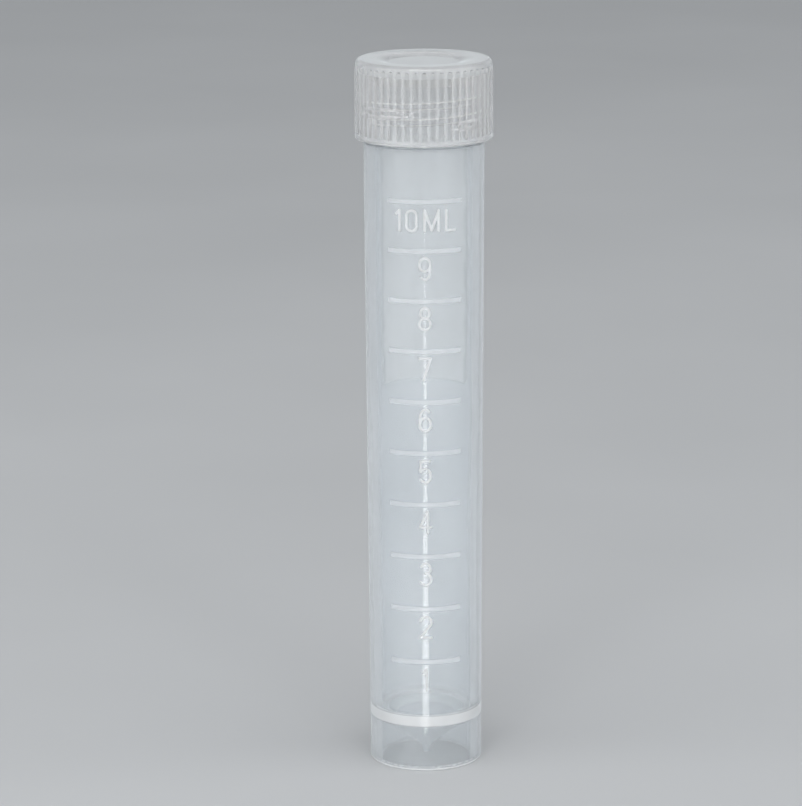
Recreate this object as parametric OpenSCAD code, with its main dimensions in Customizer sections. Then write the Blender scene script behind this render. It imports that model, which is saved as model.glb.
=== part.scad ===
// Self-standing 10 mL cryovial: a moulded tube with a skirt and a conical floor, a ribbed screw
// cap and the silicone ring that seals them. The frame has its origin at the centre of the foot
// and +Z up the tube's axis. The volume scale faces -Y and the writing panel faces +Y.

/* [Tube] */
// Outer diameter of the tube at the foot
foot_d = 15.5; // [14.8:0.1:16.2]
// Outer diameter of the tube just under the shoulder
shoulder_d = 16.5; // [16:0.1:17]
// Height of the shoulder, where the neck begins
shoulder_z = 87.75; // [60:0.25:110]
// Thickness of the wall at the floor
wall_t = 1.41; // [1.1:0.01:1.7]
// Rounding of the shoulder's outer edge
shoulder_r = 0.25; // [0.1:0.05:0.35]

/* [Base] */
// Height of the flat ring of the floor above the foot
floor_z = 7.45; // [6.8:0.05:14]
// Width of that flat ring, round the mouth of the cone
ledge_w = 1.2; // [0.6:0.05:2]
// Slope of the conical floor below the horizontal, in degrees
cone_slope = 38; // [28:1:40]
// Thickness of the conical floor
cone_t = 1.75; // [1.2:0.05:1.9]
// Diameter of the cone's flat bottom inside
cone_tip_d = 1.6; // [1:0.1:3]
// Thickness of the skirt
skirt_t = 1.33; // [1:0.01:1.6]
// Diameter of the stub that the moulding gate leaves under the cone
gate_d = 1; // [0.8:0.1:1.6]
// Height of the stub's end above the foot
gate_z = 0.6; // [0.4:0.1:1.2]
// Height over which the tube flares towards the foot
flare_h = 2.2; // [1.5:0.1:4]
// How far the foot flares out
flare = 0.08; // [0.04:0.01:0.15]

/* [Neck and thread] */
// Width of the shoulder, from the tube's outside in to the neck
neck_step = 0.55; // [0.3:0.05:0.8]
// Thickness of the neck's wall at the mouth
neck_t = 0.73; // [0.5:0.01:1]
// Height of the neck above the shoulder
neck_h = 8.25; // [7.5:0.05:10]
// Rise of the thread in one turn
pitch = 2.13; // [2:0.01:2.5]
// Height of the thread's ridge
thread_depth = 0.5; // [0.3:0.05:0.6]
// Width of the ridge's flat crest
thread_crest = 0.5; // [0.3:0.05:0.6]
// Turns of thread on the neck
neck_turns = 1.75; // [1.25:0.05:2]
// Distance from the mouth down to the end of the neck's thread
thread_top_gap = 1.3; // [1.1:0.05:2]

/* [Cap] */
// Thickness of the cap's side, over the ribs
cap_side_t = 1.05; // [0.9:0.05:1.5]
// Thickness of the cap's top at its rim
cap_top_t = 1.76; // [1.5:0.02:2.5]
// Width of the raised rim round the dish in the top
rim_w = 3; // [2.2:0.1:5]
// Depth of the dish
dish_depth = 0.5; // [0.2:0.05:0.8]
// Rounding of the dish's edge
dish_r = 6; // [2:0.5:8]
// Number of grip grooves round the side
groove_n = 50; // [36:1:56]
// Depth of each groove
groove_depth = 0.3; // [0.15:0.05:0.4]
// Width of each groove at the cap's surface
groove_w = 0.84; // [0.6:0.02:0.9]
// Height of the plain band below the grooves
band_h = 0.75; // [0.4:0.05:1.5]
// Distance from the top of the cap down to the grooves' rounded ends
groove_top_gap = 0.65; // [0.5:0.05:1.5]
// Gap between the cap's lower edge and the tube's shoulder when it is closed
skirt_gap = 0.45; // [0.2:0.05:1]
// Turns of thread inside the cap
cap_turns = 0.95; // [0.75:0.05:1.1]

/* [Sealing ring] */
// Thickness of the silicone ring
ring_t = 1.2; // [0.8:0.05:1.6]
// Width of the ring's flat faces
ring_w = 1.8; // [1.4:0.05:2.4]

/* [Fits] */
// Radial clearance between crests and roots of the two threads
thread_clear = 0.15; // [0.1:0.01:0.25]
// Clearance between the two threads' flanks when the cap is tight
flank_clear = 0.12; // [0.08:0.01:0.15]
// Clearance above and below the sealing ring
seat_clear = 0.02; // [0.01:0.01:0.05]
// Clearance round the sealing ring inside the cap
ring_clear = 0.15; // [0.05:0.01:0.3]

/* [Volume scale] */
// Height of the 1 mL bar above the floor
first_bar_h = 8.5; // [6:0.1:12]
// Height of each bar
bar_h = 0.8; // [0.4:0.05:1.2]
// How far the bars stand out from the tube
bar_proud = 0.15; // [0.05:0.01:0.25]
// Angle that each bar covers round the tube
bar_angle = 73; // [40:1:100]

/* [Writing panel] */
// Angle that the panel covers round the tube
panel_angle = 120; // [60:1:150]
// Height of the panel
panel_h = 33.8; // [20:0.1:40]
// Distance from the shoulder down to the panel
panel_top_gap = 0.9; // [0.5:0.1:10]
// How far the panel stands out from the tube
panel_proud = 0.08; // [0.04:0.01:0.15]

/* [Hidden] */
$fn = 96;

plastic = [0.84, 0.88, 0.9];
silicone = [0.93, 0.93, 0.91];

arc_steps = 4; // straight pieces in each rounded corner of a profile

mouth_z = shoulder_z + neck_h;
ceiling_z = mouth_z + ring_t + 2 * seat_clear;
cap_top_z = ceiling_z + cap_top_t;
cap_z = shoulder_z + skirt_gap;

// The tube's outside and its bore are both cones, so that the moulding leaves its mould.
function outer_r(z) = foot_d / 2 + (shoulder_d - foot_d) / 2 * z / shoulder_z;
neck_r = shoulder_d / 2 - neck_step;
bore_mouth_r = neck_r - neck_t;
bore_floor_r = outer_r(floor_z) - wall_t;
bore_draft = (bore_mouth_r - bore_floor_r) / (mouth_z - floor_z);
function bore_r(z) = bore_floor_r + bore_draft * (z - floor_z);

flank_angle = 45; // slope of the thread's flanks
thread_root = thread_crest + 2 * thread_depth * tan(flank_angle);
thread_z = mouth_z - thread_top_gap - neck_turns * pitch;
thread_start_a = 189; // direction in which the neck's thread starts
thread_fade = 30; // angle over which the ridge rises at each end
thread_step = 7.5; // angle between the sections of the ridge
thread_sink = 0.12; // how deep the ridge's root is buried in its wall
cap_thread_lead = 0.27; // turns by which the cap's thread starts after the neck's

cap_bore_r = neck_r + thread_depth + thread_clear;
cap_crest_r = cap_bore_r - thread_depth;
// At any radius the two ridges' half widths add up to the same, which sets how far one lies below the other.
mate_drop = (thread_root + thread_crest) / 2 - thread_clear * tan(flank_angle) + flank_clear;

// ---- profiles ----

function unit(v) = v / norm(v);
function turn(a) = a > 180 ? a - 360 : a < -180 ? a + 360 : a;

// Points of the arc of radius r that rounds corner b between a and c.
function corner_arc(a, b, c, r) =
    let (
        u = unit(a - b),
        v = unit(c - b),
        half = acos(u * v) / 2,
        centre = b + unit(u + v) * r / sin(half),
        first = b + u * r / tan(half) - centre,
        last = b + v * r / tan(half) - centre,
        from = atan2(first.y, first.x),
        sweep = turn(atan2(last.y, last.x) - from)
    )
    [for (i = [0:arc_steps]) centre + r * [cos(from + sweep * i / arc_steps), sin(from + sweep * i / arc_steps)]];

// A closed outline from corners [radius, height, rounding], where a rounding of 0 leaves a corner sharp.
function rounded(corners) =
    let (n = len(corners), p = [for (c = corners) [c[0], c[1]]])
    [for (i = [0:n - 1])
        each corners[i][2] > 0 ? corner_arc(p[(i + n - 1) % n], p[i], p[(i + 1) % n], corners[i][2]) : [p[i]]];

module lathe(corners) {
    rotate_extrude() polygon(rounded(corners));
}

// ---- thread ----

// A helical ridge from `start` turns on for `turns` turns along the neck's helix, lowered by `drop`.
// It stands on a wall of radius wall_r and reaches out to crest_r, or in to it where crest_r is less.
module ridge(wall_r, crest_r, start, turns, drop) {
    steps = ceil(turns * 360 / thread_step);
    out = sign(crest_r - wall_r);
    foot_r = wall_r - out * thread_sink;
    function rise(i) = max(0.1, min(1, min(i, steps - i) * turns * 360 / steps / thread_fade));
    function section(i) =
        let (
            t = start + turns * i / steps,
            a = thread_start_a + 360 * t,
            z = thread_z + pitch * t - drop,
            r = foot_r + (crest_r - foot_r) * rise(i),
            crest_w = thread_crest / 2,
            root_w = crest_w + abs(r - foot_r) * tan(flank_angle)
        )
        [for (p = [[foot_r, -root_w], [r, -crest_w], [r, crest_w], [foot_r, root_w]])
            [p[0] * cos(a), p[0] * sin(a), z + p[1]]];
    points = [for (i = [0:steps]) each section(i)];
    sides = [for (i = [0:steps - 1], k = [0:3])
        each let (a = 4 * i + k, b = 4 * i + (k + 1) % 4) [[a, b, b + 4], [a, b + 4, a + 4]]];
    ends = [[3, 2, 1], [3, 1, 0], [4 * steps, 4 * steps + 1, 4 * steps + 2], [4 * steps, 4 * steps + 2, 4 * steps + 3]];
    faces = concat(sides, ends);
    polyhedron(points, out > 0 ? faces : [for (f = faces) [f[2], f[1], f[0]]]);
}

// ---- tube ----

skirt_bore_r = foot_d / 2 - skirt_t;
cone_mouth_r = bore_floor_r - ledge_w;
cone_run = cone_mouth_r - cone_tip_d / 2;
cone_bottom_z = floor_z - cone_run * tan(cone_slope);
cone_under_z = cone_bottom_z - cone_t / cos(cone_slope); // underside of the cone, carried on to cone_tip_d
skirt_top_z = cone_under_z + (skirt_bore_r - cone_tip_d / 2) * tan(cone_slope);
gate_root_z = cone_under_z + (gate_d - cone_tip_d) / 2 * tan(cone_slope);
gate_edge = 0.12; // rounding of the stub's end
// The stub flares into the cone over most of its length.
gate_flare = 0.85 * (gate_root_z - gate_z - gate_edge) * tan(45 + cone_slope / 2);

module tube_wall() {
    lathe([
        [0, gate_z, 0],
        [gate_d / 2, gate_z, gate_edge],
        [gate_d / 2, gate_root_z, gate_flare],
        [skirt_bore_r, skirt_top_z, 0.12],
        [skirt_bore_r, 0, 0.3],
        [foot_d / 2 + flare, 0, 0.3],
        [outer_r(flare_h), flare_h, 20],
        [shoulder_d / 2, shoulder_z, shoulder_r],
        [neck_r, shoulder_z, 0.15],
        [neck_r, mouth_z, 0.25],
        [bore_mouth_r, mouth_z, 0.15],
        [bore_floor_r, floor_z, 0.3],
        [cone_mouth_r, floor_z, 0.3],
        [cone_tip_d / 2, cone_bottom_z, 0.3],
        [0, cone_bottom_z, 0],
    ]);
}

// A band on the tube between two heights, centred on a direction, with flanks that slope at 45 degrees.
module raised_band(direction, angle, low, high, proud) {
    rotate([0, 0, direction - angle / 2])
        rotate_extrude(angle = angle)
            polygon([
                [outer_r(low) - proud, low - proud],
                [outer_r(low) + proud, low + proud],
                [outer_r(high) + proud, high - proud],
                [outer_r(high) - proud, high + proud],
            ]);
}

// Height of the bar for n mL: the bore holds 1 mL more below it than below the bar before.
first_bar_z = floor_z + first_bar_h;
function bar_z(n) =
    let (r = pow(pow(bore_r(first_bar_z), 3) + 3 * bore_draft * 1000 * (n - 1) / PI, 1 / 3))
    floor_z + (r - bore_floor_r) / bore_draft;

module scale_bars() {
    top = shoulder_z - 3 * bar_h;
    for (n = [1:10])
        if (bar_z(n) < top)
            let (z = bar_z(n), low = z - bar_h / 2, high = z + bar_h / 2)
            raised_band(-90, bar_angle, low, high, bar_proud);
}

module writing_panel() {
    high = shoulder_z - panel_top_gap;
    low = high - panel_h;
    raised_band(90, panel_angle, low, high, panel_proud);
}

module tube() {
    color(plastic) {
        tube_wall();
        scale_bars();
        writing_panel();
        ridge(neck_r, neck_r + thread_depth, 0, neck_turns, 0);
    }
}

// ---- cap ----

cap_r = cap_bore_r + cap_side_t;
brow_drop = 1.7; // height of the gently inclined brow below the cap's top
brow_in = 0.25; // how far the brow leans in

module cap_shell() {
    lathe([
        [0, ceiling_z, 0],
        [cap_bore_r, ceiling_z, 0],
        [cap_bore_r, cap_z + 0.25, 0],
        [cap_bore_r + 0.25, cap_z, 0],
        [cap_r, cap_z, 0.15],
        [cap_r, cap_top_z - brow_drop, 1],
        [cap_r - brow_in, cap_top_z, 0.6],
        [cap_r - rim_w, cap_top_z, dish_r],
        [cap_r - rim_w - 3 * dish_depth, cap_top_z - dish_depth, 2],
        [0, cap_top_z - dish_depth, 0],
    ]);
}

// One groove's cutter: an upright rod with a rounded top.
groove_r = (pow(groove_w / 2, 2) + pow(groove_depth, 2)) / (2 * groove_depth);
groove_z = cap_z + band_h;
groove_top_z = cap_top_z - groove_top_gap;

module groove() {
    translate([cap_r - groove_depth + groove_r, 0, 0])
        lathe([
            [0, groove_z, 0],
            [groove_r, groove_z, 0],
            [groove_r, groove_top_z, groove_r * 0.9],
            [0, groove_top_z, 0],
        ]);
}

module cap() {
    color(plastic) {
        difference() {
            cap_shell();
            for (i = [0:groove_n - 1])
                rotate([0, 0, 360 * (i + 0.5) / groove_n])
                    groove();
        }
        ridge(cap_bore_r, cap_crest_r, cap_thread_lead, cap_turns, mate_drop);
    }
}

// ---- sealing ring ----

module sealing_ring() {
    ring_r = cap_bore_r - ring_clear;
    low = mouth_z + seat_clear;
    color(silicone)
        lathe([
            [ring_r - ring_w, low, 0.15],
            [ring_r, low, 0.15],
            [ring_r, low + ring_t, 0.15],
            [ring_r - ring_w, low + ring_t, 0.15],
        ]);
}

tube();
cap();
sealing_ring();
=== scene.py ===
# %% [markdown]
# # A self-standing cryovial
#
# This is a 10 mL tube for freezing samples. Everything on it is moulded in natural polypropylene, a
# milky, slightly blue plastic that light passes through. A skirt holds it upright, a conical floor
# gathers the last drops, and a ribbed screw cap closes it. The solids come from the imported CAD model,
# so this script only adds what CAD leaves out: the raised numerals, the plastic itself, and the light
# that shows it.

# %% Load the frame and keep its box
import math

import bpy
from mathutils import Matrix, Vector


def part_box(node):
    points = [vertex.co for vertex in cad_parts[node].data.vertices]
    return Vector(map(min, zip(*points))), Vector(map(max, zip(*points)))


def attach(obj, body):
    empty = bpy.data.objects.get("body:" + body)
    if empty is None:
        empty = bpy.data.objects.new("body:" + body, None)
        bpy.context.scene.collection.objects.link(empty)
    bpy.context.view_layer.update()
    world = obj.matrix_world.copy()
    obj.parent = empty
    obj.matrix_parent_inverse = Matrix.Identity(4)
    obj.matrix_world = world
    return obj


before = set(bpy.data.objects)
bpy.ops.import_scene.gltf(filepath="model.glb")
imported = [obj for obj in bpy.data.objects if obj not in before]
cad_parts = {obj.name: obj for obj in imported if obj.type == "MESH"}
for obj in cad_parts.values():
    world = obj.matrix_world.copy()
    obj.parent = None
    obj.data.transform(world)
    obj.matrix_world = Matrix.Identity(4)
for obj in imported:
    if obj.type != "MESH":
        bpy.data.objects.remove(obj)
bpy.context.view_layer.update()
bpy.ops.object.select_all(action="DESELECT")

# %% Sizes that the numerals and the plastic need
MM = 0.001
tube_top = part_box("tube")[1].z
cap_low, cap_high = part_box("cap")
FOOT_R = 7.75 * MM  # outside of the tube at the foot
DRAFT = 0.5 / 87.75  # how much the radius grows with height
BROW_DROP = 1.7 * MM  # the cap's ribs lean in over this height below its top
BROW_LEAN = 0.25 / 1.7  # how much they lean in with height
print("tube is", round(tube_top / MM, 2), "mm tall, cap starts at", round(cap_low.z / MM, 2), "mm")

# %% [markdown]
# ## The camera
#
# A long lens from half a metre away looks down on the tube by about thirteen degrees, so the rim of the
# cap and the ring of the floor both read as narrow ellipses, and the sides stay almost parallel. The
# tube stands a little to the right of the middle. A camera looks along its own -Z, so it is first
# tipped up from looking straight down, and the small roll is applied last, about its own axis.

# %% Place the camera
CAMERA_PLACE = (-3.3 * MM, -501.1 * MM, 170.8 * MM)
LOOKS_DOWN = 13.45  # degrees
ROLL = -0.28  # degrees
camera_data = bpy.data.cameras.new("camera")
camera_data.sensor_width = 36
camera_data.lens = 166.4
camera_data.clip_end = 20
camera = bpy.data.objects.new("camera", camera_data)
bpy.context.scene.collection.objects.link(camera)
tilt = Matrix.Rotation(math.radians(90 - LOOKS_DOWN), 4, "X")
roll = Matrix.Rotation(math.radians(ROLL), 4, "Z")
camera.matrix_world = Matrix.Translation(CAMERA_PLACE) @ tilt @ roll
bpy.context.scene.camera = camera
bpy.context.scene.view_settings.view_transform = "Standard"
print("camera lens", camera_data.lens, "mm")

# %% [markdown]
# ## The table
#
# Clear plastic shows its surroundings more than itself, so the surroundings are part of the material. A
# pale, even table fills the view behind the tube. It is a plain plane with a faint, slow mottling in
# its colour, and it is fairly rough, so that no lamp mirrors in it. Every material here is a small tree
# of nodes, so a helper that adds one node comes first.


# %% A helper that adds a node, sets its sockets and links what feeds it
def add_node(tree, kind, label, values=None, links=None, **settings):
    """Adds a node. values and links give its sockets, by number or name, plain values and sources."""
    node = tree.nodes.new(kind)
    node.label = label
    for name, value in settings.items():
        setattr(node, name, value)
    for socket, value in (values or {}).items():
        node.inputs[socket].default_value = value
    for socket, source in (links or {}).items():
        tree.links.new(source, node.inputs[socket])
    return node


def new_material(name):
    """A material with an empty node tree."""
    material = bpy.data.materials.new(name)
    material.use_nodes = True
    material.node_tree.nodes.clear()
    return material, material.node_tree


# %% The table
table_material, tree = new_material("table")
where = add_node(tree, "ShaderNodeTexCoord", "Place on the table")
mottle = add_node(
    tree,
    "ShaderNodeTexNoise",
    "Faint mottling",
    {"Scale": 9.0, "Detail": 3.0},
    {"Vector": where.outputs["Object"]},
)
tone = add_node(tree, "ShaderNodeValToRGB", "Pale grey", links={"Fac": mottle.outputs["Fac"]})
tone.color_ramp.elements[0].position = 0.3
tone.color_ramp.elements[0].color = (0.53, 0.54, 0.55, 1)
tone.color_ramp.elements[1].position = 0.7
tone.color_ramp.elements[1].color = (0.56, 0.57, 0.58, 1)
surface = add_node(
    tree,
    "ShaderNodeBsdfPrincipled",
    "Matt laminate",
    {"Roughness": 0.6, "Specular IOR Level": 0.3},
    {"Base Color": tone.outputs["Color"]},
)
add_node(tree, "ShaderNodeOutputMaterial", "Table", links={"Surface": surface.outputs["BSDF"]})

bpy.ops.mesh.primitive_plane_add(size=8, location=(0, 2, 0))
table = bpy.context.object
table.name = "table"
table.data.materials.append(table_material)
print("table laid")

# %% [markdown]
# ## The light
#
# The room gives an even, cool light. Large soft boxes stand on the left, on the right and in front, and
# a faint one hangs above. Most are low, because low light falls on an upright tube more than on the
# table, and that lifts the milky plastic off its background. They are large because a small bright lamp
# would mirror as a white glare in the flat top of the cap. The camera doesn't see them, but they show
# through clear plastic, which carries their light into the tube.
#
# The last lamp is a narrow strip that lies on the table in front of the tube. It mirrors in the wall as
# a soft upright streak, which the raised numerals break up. It doesn't show through the plastic, where
# a lamp that small would only add noise.

# %% The room's soft light
world = bpy.data.worlds.new("room")
bpy.context.scene.world = world
world.use_nodes = True
world.node_tree.nodes["Background"].inputs["Color"].default_value = (0.90, 0.93, 0.96, 1)
world.node_tree.nodes["Background"].inputs["Strength"].default_value = 0.44
print("room lit")


# %% Soft boxes
def add_softbox(name, place, target, size, power, shape="RECTANGLE", through=True):
    """An area light, power in watts, facing a target. through says if it shows through clear plastic."""
    data = bpy.data.lights.new(name, "AREA")
    data.shape = shape
    data.size, data.size_y = size
    data.energy = power
    lamp = bpy.data.objects.new(name, data)
    bpy.context.scene.collection.objects.link(lamp)
    turn = (Vector(target) - Vector(place)).to_track_quat("-Z", "Y").to_matrix().to_4x4()
    lamp.matrix_world = Matrix.Translation(place) @ turn
    lamp.visible_camera = False
    lamp.visible_transmission = through


TUBE_MIDDLE = (0, 0, 0.05)
add_softbox("softbox_left", (-0.75, -0.60, 0.45), TUBE_MIDDLE, (1.40, 1.10), 6.4)
add_softbox("softbox_right", (0.80, -0.45, 0.45), TUBE_MIDDLE, (1.25, 1.10), 5.0)
add_softbox("softbox_front", (0.0, -0.90, 0.64), TUBE_MIDDLE, (1.00, 0.45), 4.8)
add_softbox("softbox_top", (0.0, 0.30, 1.10), TUBE_MIDDLE, (0.80, 0.80), 0.5)

# %% The strip on the table
STRIP_X, STRIP_Y = -0.0004, -0.2155
strip_place = (STRIP_X, STRIP_Y, 0.5 * MM)
above_strip = (STRIP_X, STRIP_Y, 1.0)
add_softbox("strip_low", strip_place, above_strip, (0.020, 0.385), 0.12, shape="ELLIPSE", through=False)

# %% [markdown]
# ## Milky polypropylene
#
# Natural polypropylene is neither clear nor white: part of the light goes straight through, and part is
# scattered. Principled does both at once: Transmission Weight sets the share that passes, and the rest
# is a pale, cool body colour. A real volume would be truer, but its noise is high in a wall a
# millimetre thick. A little sheen lifts the edges, where the eye looks along the wall and meets more of
# the milky plastic. The share varies slowly over the surface, as the wall does, and a fine grain
# roughens the gloss, as the mould leaves it. Where a wall is much thicker or thinner than the rest, a
# mask changes the share. It is worked out from the place on the piece by a few nodes, so the next
# helpers add those.


# %% Helpers for masks made of the place on the piece
def math_node(tree, label, operation, *terms):
    """A Math node whose terms are sockets or numbers. Gives its output socket."""
    node = add_node(tree, "ShaderNodeMath", label, operation=operation)
    for i, term in enumerate(terms):
        if isinstance(term, (int, float)):
            node.inputs[i].default_value = term
        else:
            tree.links.new(term, node.inputs[i])
    return node.outputs["Value"]


def ramp(tree, label, value, start, end, low=0.0, high=1.0):
    """A smooth step of a socket's value, from low at start to high at end."""
    node = add_node(
        tree,
        "ShaderNodeMapRange",
        label,
        {"From Min": start, "From Max": end, "To Min": low, "To Max": high},
        {"Value": value},
        interpolation_type="SMOOTHSTEP",
    )
    return node.outputs["Result"]


def band(tree, label, value, low, high, soft):
    """1 between low and high, fading to 0 over soft on both sides."""
    rise = ramp(tree, label + ", lower edge", value, low - soft, low + soft)
    fall = ramp(tree, label + ", upper edge", value, high - soft, high + soft, 1.0, 0.0)
    return math_node(tree, label, "MULTIPLY", rise, fall)


# %% A helper for the plastic
MASK_COLOUR = (0.985, 0.98, 0.975, 1)


def polypropylene(name, colour, clear, rough, mask=None, mask_clear=0.2, mask_rough=0.35):
    """Milky plastic. clear is (least, most) Transmission Weight and rough the same for Roughness.

    mask gives a socket, from the tree and its coordinates. Where it is 1, the plastic has MASK_COLOUR,
    mask_clear and mask_rough.
    """
    material, tree = new_material(name)
    where = add_node(tree, "ShaderNodeTexCoord", "Place on the piece").outputs["Object"]
    stretch = {"Scale": (1, 1, 0.3)}
    drawn = add_node(tree, "ShaderNodeMapping", "Drawn out upwards", stretch, {"Vector": where})
    cloud = add_node(
        tree,
        "ShaderNodeTexNoise",
        "Uneven wall",
        {"Scale": 160.0, "Detail": 3.0, "Roughness": 0.55},
        {"Vector": drawn.outputs["Vector"]},
    ).outputs["Fac"]
    grain = add_node(
        tree,
        "ShaderNodeTexNoise",
        "Mould finish",
        {"Scale": 1500.0, "Detail": 2.0, "Roughness": 0.6},
        {"Vector": where},
    ).outputs["Fac"]
    passes = ramp(tree, "Share that passes", cloud, 0.3, 0.7, *clear)
    gloss = ramp(tree, "Gloss", grain, 0.3, 0.7, *rough)
    tint = add_node(tree, "ShaderNodeMix", "Body colour", data_type="RGBA", links={"Factor": cloud})
    tint.inputs["A"].default_value = (*[c * 0.98 for c in colour], 1)
    tint.inputs["B"].default_value = (*colour, 1)
    if mask:
        there = mask(tree, where)
        both = {"Factor": there, "A": tint.outputs["Result"]}
        tint = add_node(tree, "ShaderNodeMix", "Colour there", data_type="RGBA", links=both)
        tint.inputs["B"].default_value = MASK_COLOUR
        mixed = []
        for label, elsewhere, value in (("Share", passes, mask_clear), ("Gloss", gloss, mask_rough)):
            both = {"Factor": there, "A": elsewhere}
            node = add_node(tree, "ShaderNodeMix", label + " there", {"B": value}, both)
            mixed.append(node.outputs["Result"])
        passes, gloss = mixed
    bump = add_node(
        tree, "ShaderNodeBump", "Mould finish", {"Strength": 0.05, "Distance": 0.00005}, {"Height": grain}
    )
    surface = add_node(
        tree,
        "ShaderNodeBsdfPrincipled",
        "Polypropylene",
        {"IOR": 1.49, "Sheen Weight": 0.6, "Sheen Roughness": 0.4, "Sheen Tint": (0.92, 0.97, 1.0, 1.0)},
        {
            "Base Color": tint.outputs["Result"],
            "Transmission Weight": passes,
            "Roughness": gloss,
            "Normal": bump.outputs["Normal"],
        },
    )
    add_node(tree, "ShaderNodeOutputMaterial", "Surface", links={"Surface": surface.outputs["BSDF"]})
    return material


# %% [markdown]
# ## Where the tube is thick, raised or frosted, and its painted highlights
#
# The moulding is milkier where light crosses more plastic. The floor joins the wall in a thick ring,
# with a flat ledge inside it, and the cone below it tapers to the stub of the moulding gate. The edge
# of the foot and the edges of the thread catch light along the wall, which is painted on there as paler,
# less clear plastic: painted highlights. The bars of the scale are slightly raised, so a node that
# compares the radius with that of the plain wall finds them, and the writing panel on the back is
# frosted by the mould. Each of these gets its own strength, and the mask is the highest of them.


# %% Nodes that the masks of the tube and the cap share
def split_place(tree, where):
    """The height, the radius and the Y of a place on the piece."""
    parts = add_node(tree, "ShaderNodeSeparateXYZ", "Split the place", links={"Vector": where})
    sideways = {"X": parts.outputs["X"], "Y": parts.outputs["Y"]}
    flat = add_node(tree, "ShaderNodeCombineXYZ", "Without its height", links=sideways)
    radius = add_node(
        tree, "ShaderNodeVectorMath", "Radius", links={0: flat.outputs["Vector"]}, operation="LENGTH"
    ).outputs["Value"]
    return parts.outputs["Z"], radius, parts.outputs["Y"]


def most(tree, label, *masks):
    """The highest of some masks."""
    highest = masks[0]
    for mask in masks[1:]:
        highest = math_node(tree, label, "MAXIMUM", highest, mask)
    return highest


# %% The mask for the tube
RING_LOW, RING_HIGH = 6.5 * MM, 8.0 * MM  # where the floor's ring shows on the wall
LEDGE_Z = 7.45 * MM  # the flat ledge round the mouth of the cone
LEDGE_IN, LEDGE_OUT = 5.2 * MM, 6.42 * MM
CONE_R = 6.0 * MM
FOOT_EDGE = 0.35 * MM
PANEL_LOW, PANEL_HIGH = 53.05 * MM, 86.85 * MM
PANEL_SIDE = 0.5  # its sides are where Y is this share of the radius, 60 degrees from straight back
SHOULDER_Z = 88.0 * MM
# on these edges the mask paints the thread's highlight lines as paler plastic: a painted highlight
THREAD_LOW, THREAD_HIGH = 7.97 * MM, 8.12 * MM  # both edges of the neck's thread, just inside its crest
BAR_MILK = 0.15  # strengths of four of the masks, where the others have 1
RING_MILK = 0.5
# the foot's edge is a painted highlight: light carried along the wall, painted as paler plastic
FOOT_PAINTED_HIGHLIGHT = 0.6
CONE_MILK = 0.18


def tube_mask(tree, where):
    """1 on the ledge, the writing panel and the thread's edges, whose highlight lines it paints, and less
    on the other marked places, the foot's painted highlight among them.
    """
    height, radius, y = split_place(tree, where)
    direction = math_node(tree, "Direction, -1 at the front", "DIVIDE", y, radius)
    wall = math_node(tree, "Radius of the plain wall", "MULTIPLY_ADD", height, DRAFT, FOOT_R)
    proud = math_node(tree, "Height above the wall", "SUBTRACT", radius, wall)
    raised = ramp(tree, "Raised", proud, 0.03 * MM, 0.07 * MM)
    front = ramp(tree, "Front", direction, -0.1, 0.1, BAR_MILK, 0.0)
    bars = math_node(tree, "Bars", "MULTIPLY", raised, front)
    behind = ramp(tree, "Behind", direction, PANEL_SIDE - 0.01, PANEL_SIDE + 0.01)
    panel = band(tree, "Panel's height", height, PANEL_LOW, PANEL_HIGH, 0.05 * MM)
    panel = math_node(tree, "Writing panel", "MULTIPLY", behind, panel)
    ring = band(tree, "Floor's ring", height, RING_LOW, RING_HIGH, 0.15 * MM)
    ring = math_node(tree, "Ring's strength", "MULTIPLY", ring, RING_MILK)
    width = band(tree, "Ledge's width", radius, LEDGE_IN, LEDGE_OUT, 0.1 * MM)
    level = band(tree, "Ledge's height", height, LEDGE_Z - 0.15 * MM, LEDGE_Z + 0.15 * MM, 0.05 * MM)
    ledge = math_node(tree, "Ledge", "MULTIPLY", width, level)
    # painted highlight along the foot's edge
    foot = ramp(tree, "Foot's edge", height, FOOT_EDGE - 0.1 * MM, FOOT_EDGE + 0.1 * MM, FOOT_PAINTED_HIGHLIGHT, 0.0)
    middle = ramp(tree, "Near the middle", radius, CONE_R - 0.1 * MM, CONE_R + 0.1 * MM, CONE_MILK, 0.0)
    low = ramp(tree, "Below the ledge", height, LEDGE_Z + 0.15 * MM, LEDGE_Z + 0.25 * MM, 1.0, 0.0)
    cone = math_node(tree, "Cone", "MULTIPLY", middle, low)
    # painted highlight lines along the thread's edges
    edges = band(tree, "Thread's edges", radius, THREAD_LOW, THREAD_HIGH, 0.03 * MM)
    above = ramp(tree, "Above the shoulder", height, SHOULDER_Z, SHOULDER_Z + 0.1 * MM)
    thread = math_node(tree, "Thread", "MULTIPLY", edges, above)
    # the highest of the thick, raised and frosted places and the painted highlights
    return most(tree, "Thick_or_painted_highlight", bars, panel, ring, ledge, foot, cone, thread)


# %% [markdown]
# ## Where the cap is thin
#
# The grip is a ring of narrow ribs. Light crosses more plastic in a rib than in the groove beside it,
# so the ribs read as pale lines and the grooves as clear ones, through which the thread shows. Near its
# top the cap leans in a little, so the depth of a groove is measured from the leaning crest of the
# ribs. The bottom of the dish is thinner than the rim round it too.


# %% The mask for the cap
CAP_WALL_R = 8.75 * MM  # only the outside of the cap's wall is further out
DISH_IN, DISH_OUT = 4.8 * MM, 6.2 * MM
DISH_CLEAR = 0.8  # how clear the dish is, where a groove has 1


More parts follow.
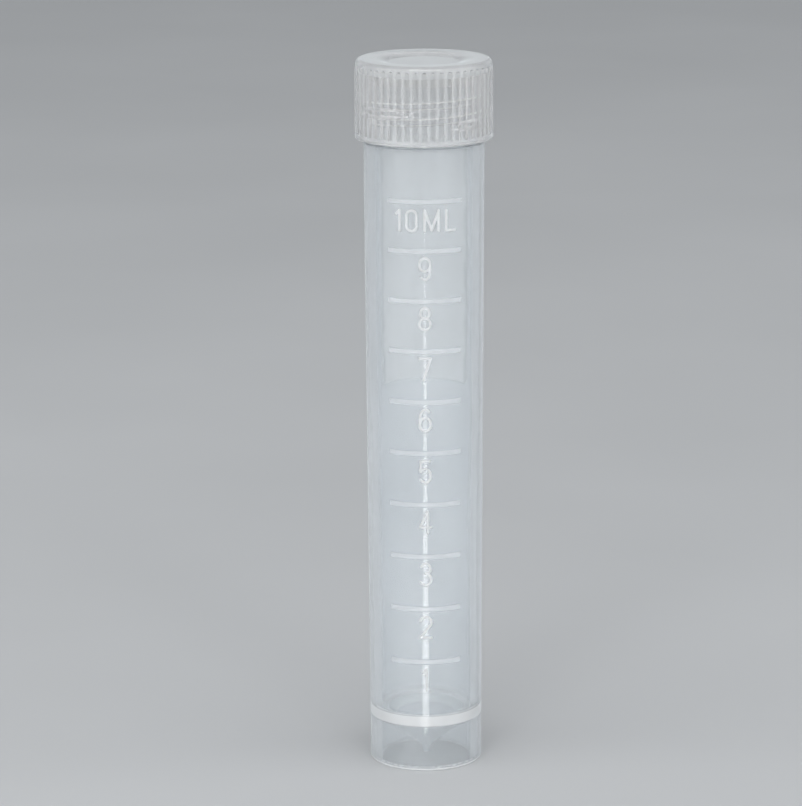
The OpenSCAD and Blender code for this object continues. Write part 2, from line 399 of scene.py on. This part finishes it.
def cap_mask(tree, where):
    """1 in the grooves between the ribs, where the cap's wall is thinnest, and less in the dish."""
    height, radius, _ = split_place(tree, where)
    climb = math_node(tree, "Height on the brow", "SUBTRACT", height, cap_high.z - BROW_DROP)
    lean = math_node(tree, "Lean of the brow", "MULTIPLY", climb, BROW_LEAN)
    lean = math_node(tree, "No lean below it", "MAXIMUM", lean, 0.0)
    crest = math_node(tree, "Radius of the ribs", "SUBTRACT", cap_high.x, lean)
    depth = math_node(tree, "Depth below the ribs", "SUBTRACT", crest, radius)
    groove = ramp(tree, "Groove", depth, 0.04 * MM, 0.2 * MM)
    outside = ramp(tree, "Outside of the cap", radius, CAP_WALL_R, CAP_WALL_R + 0.05 * MM)
    groove = math_node(tree, "Groove on the outside", "MULTIPLY", groove, outside)
    ribbed = band(tree, "Ribbed height", height, cap_low.z + 0.85 * MM, cap_high.z - 1.1 * MM, 0.4 * MM)
    groove = math_node(tree, "Grooves", "MULTIPLY", groove, ribbed)
    inside = ramp(tree, "Inside the rim", radius, DISH_IN, DISH_OUT, DISH_CLEAR, 0.0)
    top = ramp(tree, "Top face", height, cap_high.z - 0.8 * MM, cap_high.z - 0.7 * MM)
    dish = math_node(tree, "Dish", "MULTIPLY", inside, top)
    return most(tree, "Thin", groove, dish)


# %% [markdown]
# ## Three plastics
#
# The cap is moulded from polypropylene too. It is a thicker moulding with a duller finish, so it is
# whiter than the tube, passes a little less light and is rougher. The sealing ring under it is silicone
# rubber, which is duller still and slightly warm. The same helper makes all three, each with its own
# colour, share and gloss.

# %% Mix the plastics of the tube, the cap and the sealing ring
tube_plastic = polypropylene(
    "tube_polypropylene",
    (0.93, 0.965, 0.99),
    (0.77, 0.82),
    (0.08, 0.12),
    tube_mask,
)
cap_plastic = polypropylene(
    "cap_polypropylene",
    (0.975, 0.98, 0.985),
    (0.765, 0.79),
    (0.12, 0.16),
    cap_mask,
    mask_clear=0.88,
    mask_rough=0.12,
)
ring_silicone = polypropylene("ring_silicone", (0.96, 0.96, 0.95), (0.78, 0.82), (0.20, 0.26))
print("materials:", [m.name for m in bpy.data.materials])

# %% Give each CAD node its material
for node, material in (("tube", tube_plastic), ("cap", cap_plastic), ("sealing_ring", ring_silicone)):
    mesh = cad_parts[node].data
    for slot in range(len(mesh.materials)):
        mesh.materials[slot] = material
    print(node, "is now", material.name)

# %% [markdown]
# ## The raised numerals
#
# Each bar of the scale has its number below it, engraved in the mould with a ball-nosed cutter, so it
# stands out of the tube as a rounded bead of even width. A font would give strokes of changing width,
# so each numeral is drawn here as a few lines and bows, the way an engraver's cutter runs. A line
# becomes a round bead by a bevel on a curve, and a small ball rounds each end. A voxel remesh then
# fuses the beads of one numeral into a single skin, and a cut takes off the back. This is done in
# millimetres, because the remesh can't take voxels as small as the model's metres would need. Last,
# each numeral is brought to metres and bent round the wall, at its own height.

# %% Strokes of the numerals, in millimetres from the middle of the foot line
TALL = 3.0  # between the middles of the lowest and highest strokes
HALF = 0.75  # half the width, between the middles of the strokes
STROKE = 0.4


def bow(cx, cz, rx, rz, start, end):
    """Points on an oval, from one angle to another, in degrees."""
    steps = max(3, round(abs(end - start) / 12))
    angles = [math.radians(start + (end - start) * i / steps) for i in range(steps + 1)]
    return [(cx + rx * math.cos(a), cz + rz * math.sin(a)) for a in angles]


def turned(strokes):
    """A numeral turned upside down."""
    return [[(-x, TALL - z) for x, z in stroke] for stroke in strokes]


SIX = [bow(0, 0.92, HALF, 0.92, 0, 360), [(-HALF, 0.92), *bow(0, 1.5, HALF, 1.5, 180, 52)]]
NUMERALS = {
    "0": [
        [
            *bow(0, TALL - HALF, HALF, HALF, 0, 180),
            *bow(0, HALF, HALF, HALF, 180, 360),
            (HALF, TALL - HALF),
        ]
    ],
    "1": [[(0.1, TALL), (0.1, 0)], [(0.1, TALL), (-0.4, TALL - 0.55)]],
    "2": [
        bow(0, TALL - HALF, HALF, HALF, 170, -35),
        [(0.62, 1.82), (-HALF, 0)],
        [(-HALF, 0), (HALF, 0)],
    ],
    "3": [bow(0, TALL - 0.7, 0.66, 0.7, 150, -90), bow(0, 0.8, HALF, 0.8, 90, -150)],
    "4": [[(0.3, 0), (0.3, TALL)], [(0.3, TALL), (-HALF, 0.85)], [(-HALF, 0.85), (HALF, 0.85)]],
    "5": [
        [(0.6, TALL), (-0.6, TALL)],
        [(-0.6, TALL), (-0.66, 1.62)],
        bow(-0.03, 0.95, HALF, 0.95, 145, -145),
    ],
    "6": SIX,
    "7": [[(-HALF, TALL), (HALF, TALL)], [(HALF, TALL), (-0.2, 0)]],
    "8": [bow(0, TALL - 0.72, 0.62, 0.72, 0, 360), bow(0, 0.78, HALF, 0.78, 0, 360)],
    "9": turned(SIX),
    "M": [
        [(-1.02, 0), (-1.02, TALL)],
        [(-1.02, TALL), (0, 0.1)],
        [(0, 0.1), (1.02, TALL)],
        [(1.02, TALL), (1.02, 0)],
    ],
    "L": [[(-0.68, TALL), (-0.68, 0)], [(-0.68, 0), (0.68, 0)]],
}
print(len(NUMERALS), "characters drawn")


# %% A helper that turns strokes into one fused bead
def only(piece):
    """Selects one object and makes it active."""
    bpy.ops.object.select_all(action="DESELECT")
    piece.select_set(True)
    bpy.context.view_layer.objects.active = piece


def apply_modifier(piece, kind, **settings):
    """Adds a modifier with its settings and applies it."""
    only(piece)
    modifier = piece.modifiers.new(kind.lower(), kind)
    for name, value in settings.items():
        setattr(modifier, name, value)
    bpy.ops.object.modifier_apply(modifier=modifier.name)


SINK = 0.05  # from the plastic's surface down to the middle of a bead
BACK = 0.03  # from the surface down to the flat back
VOXEL = 0.05


def bead(name, strokes, width=STROKE):
    """A raised character facing -Y, in millimetres, cut off flat a little below the plastic's surface."""
    curve = bpy.data.curves.new(name, "CURVE")
    curve.dimensions = "3D"
    curve.bevel_depth = width / 2
    curve.bevel_resolution = 4
    curve.use_fill_caps = True
    for stroke in strokes:
        spline = curve.splines.new("POLY")
        spline.points.add(len(stroke) - 1)
        for point, (x, z) in zip(spline.points, stroke):
            point.co = (x, SINK, z, 1)
    line = bpy.data.objects.new(name, curve)
    bpy.context.scene.collection.objects.link(line)
    only(line)
    bpy.ops.object.convert(target="MESH")
    pieces = [bpy.context.object]
    for x, z in {tip for stroke in strokes for tip in (stroke[0], stroke[-1])}:
        end = (x, SINK, z)
        bpy.ops.mesh.primitive_uv_sphere_add(segments=16, ring_count=12, radius=width / 2, location=end)
        pieces.append(bpy.context.object)
    only(pieces[0])
    for piece in pieces:
        piece.select_set(True)
    bpy.ops.object.join()
    character = bpy.context.object
    bpy.ops.object.transform_apply(location=True, rotation=True, scale=True)
    apply_modifier(character, "REMESH", mode="VOXEL", voxel_size=VOXEL)
    apply_modifier(character, "SMOOTH", factor=0.5, iterations=3)
    bpy.ops.object.mode_set(mode="EDIT")
    bpy.ops.mesh.select_all(action="SELECT")
    bpy.ops.mesh.bisect(plane_co=(0, BACK, 0), plane_no=(0, 1, 0), use_fill=True, clear_outer=True)
    bpy.ops.object.mode_set(mode="OBJECT")
    return character


# %% A helper that lays a flat character round the tube
def wrap(character, along, foot_z, scale=1.0):
    """Bends a character round the tube. along is its place round the tube and foot_z its foot, in mm."""
    for vertex in character.data.vertices:
        x = vertex.co.x * scale + along
        z = (vertex.co.z * scale + foot_z) * MM
        wall = FOOT_R + DRAFT * z
        angle = x * MM / wall
        radius = wall - vertex.co.y * MM
        vertex.co = (radius * math.sin(angle), -radius * math.cos(angle), z)


# %% Write the numbers and the label under the bars
BAR_Z = (15.95, 23.5, 31.1, 38.5, 45.7, 52.95, 60.1, 67.1, 74.0, 80.7)  # middles of the bars, in mm
HEAD_GAP = 0.85  # from the middle of a bar down to the top of its number
LABEL_GAP = 1.05  # the same for the label under the top bar
LABEL_SCALE = 0.93
LABEL_STROKE = 0.46
LABEL_PLACES = (-3.58, -1.80, 0.95, 3.62)  # middles of its four characters, round the tube
characters = []
for number, bar_z in enumerate(BAR_Z[:9], start=1):
    character = bead("numeral_" + str(number), NUMERALS[str(number)])
    wrap(character, 0.0, bar_z - HEAD_GAP - TALL - STROKE / 2)
    characters.append(character)
label_foot = BAR_Z[9] - LABEL_GAP - LABEL_SCALE * TALL - STROKE / 2
for letter, along in zip("10ML", LABEL_PLACES):
    character = bead("label_" + letter, NUMERALS[letter], LABEL_STROKE)
    wrap(character, along, label_foot, LABEL_SCALE)
    characters.append(character)

only(characters[0])
for character in characters:
    character.select_set(True)
bpy.ops.object.join()
numerals = bpy.context.object
numerals.name = "volume_numerals"
bpy.ops.object.shade_smooth()
print("numerals have", len(numerals.data.polygons), "faces")

# %% [markdown]
# ## The numerals' plastic
#
# The numerals are part of the tube's moulding. Their grooves in the mould aren't polished as its wall
# is, so they scatter more light and read whiter than the plastic round them. They ride on the tube, so
# they follow it in every pose.

# %% Plastic for the numerals
numeral_plastic = polypropylene(
    "numeral_polypropylene",
    (0.96, 0.975, 0.985),
    (0.50, 0.57),
    (0.30, 0.40),
)
numerals.data.materials.clear()
numerals.data.materials.append(numeral_plastic)
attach(numerals, "tube")
print("numerals ride on the tube")
